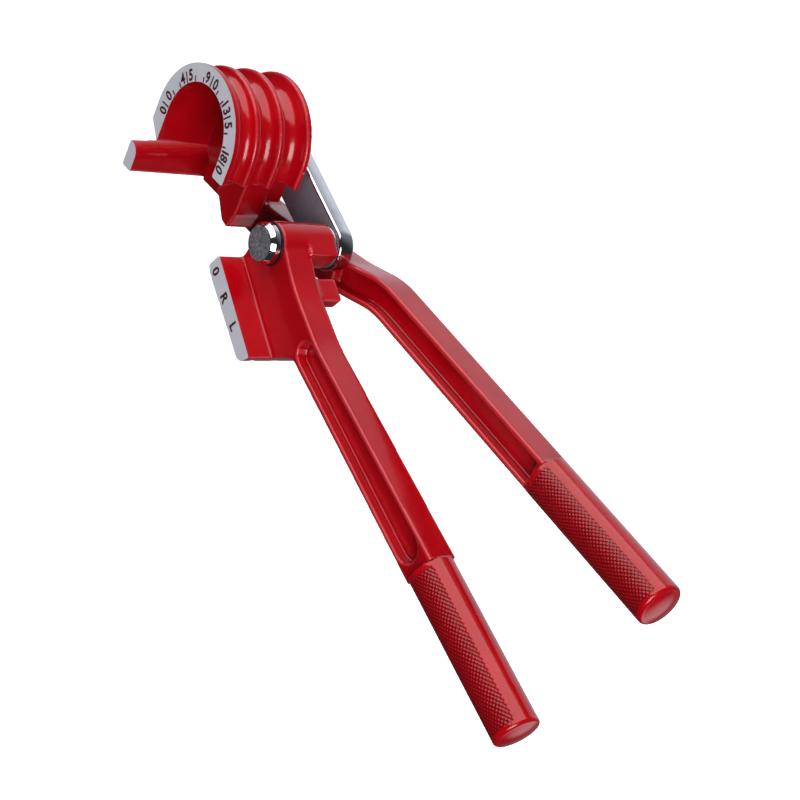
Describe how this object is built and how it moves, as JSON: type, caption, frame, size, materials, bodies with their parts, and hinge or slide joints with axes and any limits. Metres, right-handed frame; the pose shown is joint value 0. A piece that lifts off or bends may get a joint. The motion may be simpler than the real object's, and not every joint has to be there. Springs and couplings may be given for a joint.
{
  "type": "lever tube bender",
  "caption": "Hand tube bender with a grooved forming wheel and hook on one handle, a grooved shoe on the other, and a swinging link between them.",
  "frame": {"origin": "where the forming wheel's axis meets the flat floor of the wheel's hollow", "axes": "+Z along the forming wheel's axis and both pivots, towards the side with the scale; the tool lies on its far side. The wheel casting's handle runs towards +X and -Y"},
  "size_m": [0.2362, 0.215, 0.0571],
  "materials": {
    "red_paint": "glossy red powder paint on a zinc or aluminium casting",
    "chrome_plate": "polished plate",
    "bright_steel": "turned steel",
    "black_washer": "blackened steel",
    "bronze_bush": "sintered bronze"
  },
  "bodies": {
    "wheel_handle": {"wheel_casting": "red_paint", "wheel_pivot_pin": "bright_steel", "wheel_pin_collar": "chrome_plate", "wheel_spacer_washer": "bright_steel"},
    "link": {"link_bar": "chrome_plate", "link_bush": "bronze_bush", "shoe_pivot_pin": "chrome_plate", "boss_spacer_washer": "bright_steel", "pin_head_washer": "black_washer"},
    "shoe_handle": {"shoe_casting": "red_paint", "boss_bush": "bronze_bush"}
  },
  "joints": [
    {"name": "link_pivot", "type": "hinge", "parent": "wheel_handle", "child": "link", "pos_m": [0, 0, 0], "axis": [0, 0, 1], "range_deg": [0, 199]},
    {"name": "shoe_pivot", "type": "hinge", "parent": "link", "child": "shoe_handle", "pos_m": [0.03251, -0.03772, 0], "axis": [0, 0, 1], "range_deg": [-80.5, 90]}
  ]
}
